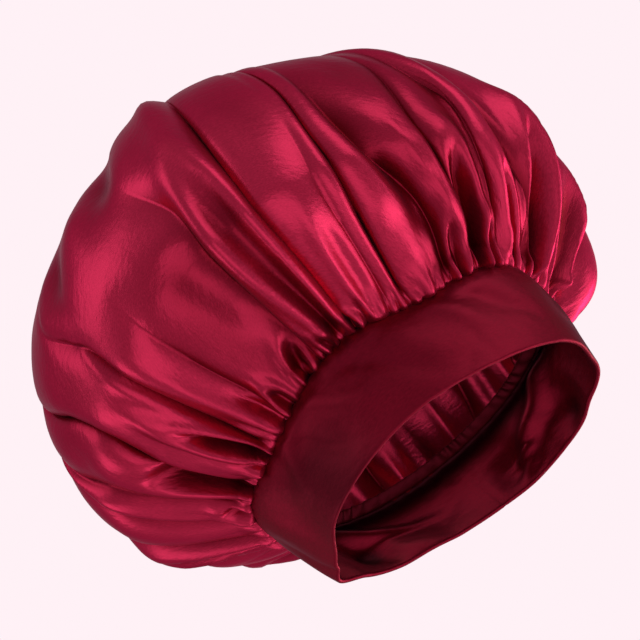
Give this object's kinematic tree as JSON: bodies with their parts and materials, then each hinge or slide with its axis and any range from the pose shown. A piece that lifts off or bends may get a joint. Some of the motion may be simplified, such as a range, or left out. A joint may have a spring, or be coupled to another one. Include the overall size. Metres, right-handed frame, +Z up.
{
  "type": "sleep bonnet",
  "caption": "Satin sleep bonnet with a full puffed crown gathered onto a wide folded elastic band, shown filled out as worn with its opening down.",
  "frame": {"origin": "centre of the gathering seam, where the band's upper edge grips the head", "axes": "+Z up through the crown and away from the opening, +X along the long way of the opening, -Y the front"},
  "size_m": [0.3418, 0.3323, 0.288],
  "materials": {
    "crown_satin": "wine red polyester satin, glossy face out, softly creased",
    "band_satin": "the same satin, folded double over wide elastic, darker and duller",
    "seam_allowance": "raw satin edge, overlocked with matching thread"
  },
  "bodies": {
    "root": {"crown": "crown_satin", "band": "band_satin", "seam_ruffle": "seam_allowance"}
  },
  "joints": []
}
